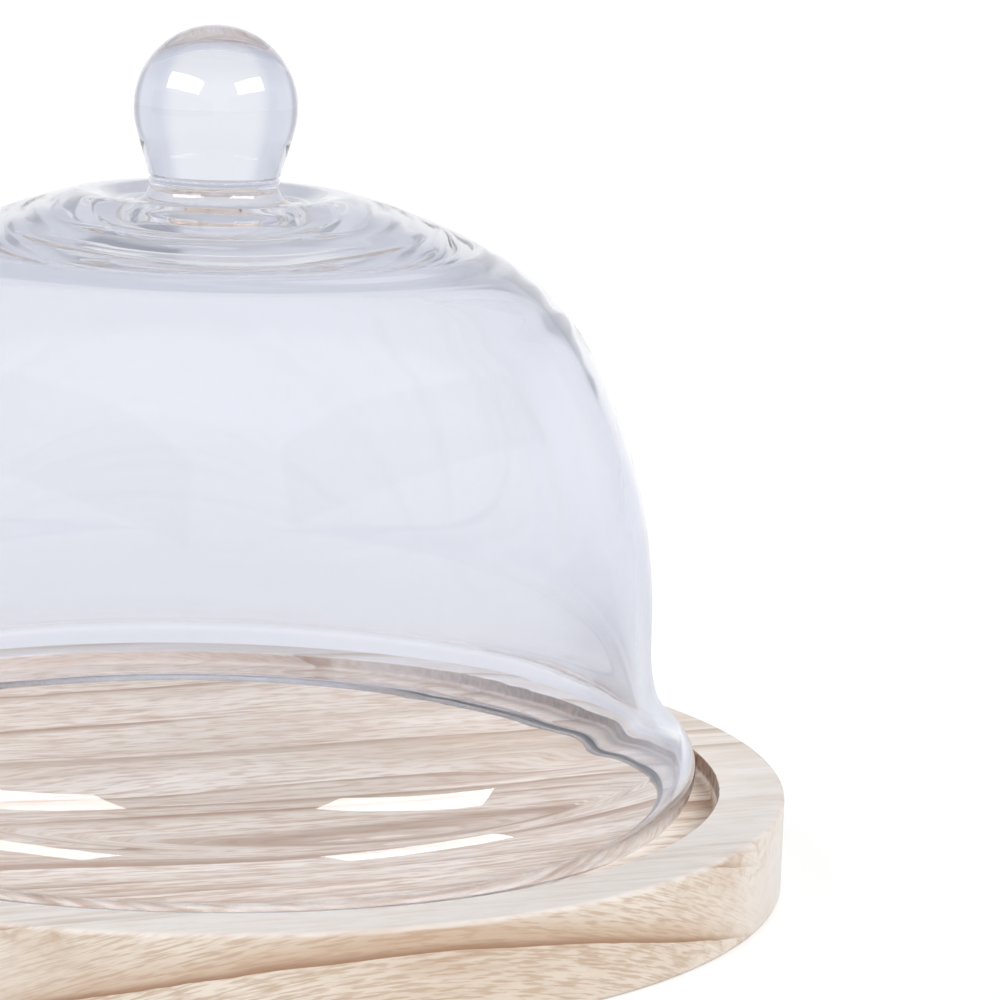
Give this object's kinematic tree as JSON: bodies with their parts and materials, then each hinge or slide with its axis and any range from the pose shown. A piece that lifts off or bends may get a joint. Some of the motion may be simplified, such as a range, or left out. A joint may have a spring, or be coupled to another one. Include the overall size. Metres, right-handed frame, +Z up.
{
  "type": "cheese dome",
  "caption": "Clear glass bell with a solid ball knob and a rolled lip, standing in the shallow round recess of a pale wooden serving board; lifts straight off.",
  "frame": {"origin": "centre of the board's underside", "axes": "+Z up along the common axis of board, dome and knob; -Y towards the viewer of the picture"},
  "size_m": [0.28, 0.28, 0.2004],
  "materials": {
    "pale_wood": "unfinished, open pores",
    "clear_glass": "clear, blown",
    "knob_glass": "clear, solid"
  },
  "bodies": {
    "board": {"board": "pale_wood"},
    "cover": {"dome": "clear_glass", "knob": "knob_glass"}
  },
  "joints": [
    {"name": "cover_lift", "type": "slide", "parent": "board", "child": "cover", "axis": [0, 0, 1], "range_m": [0, 0.2]}
  ]
}
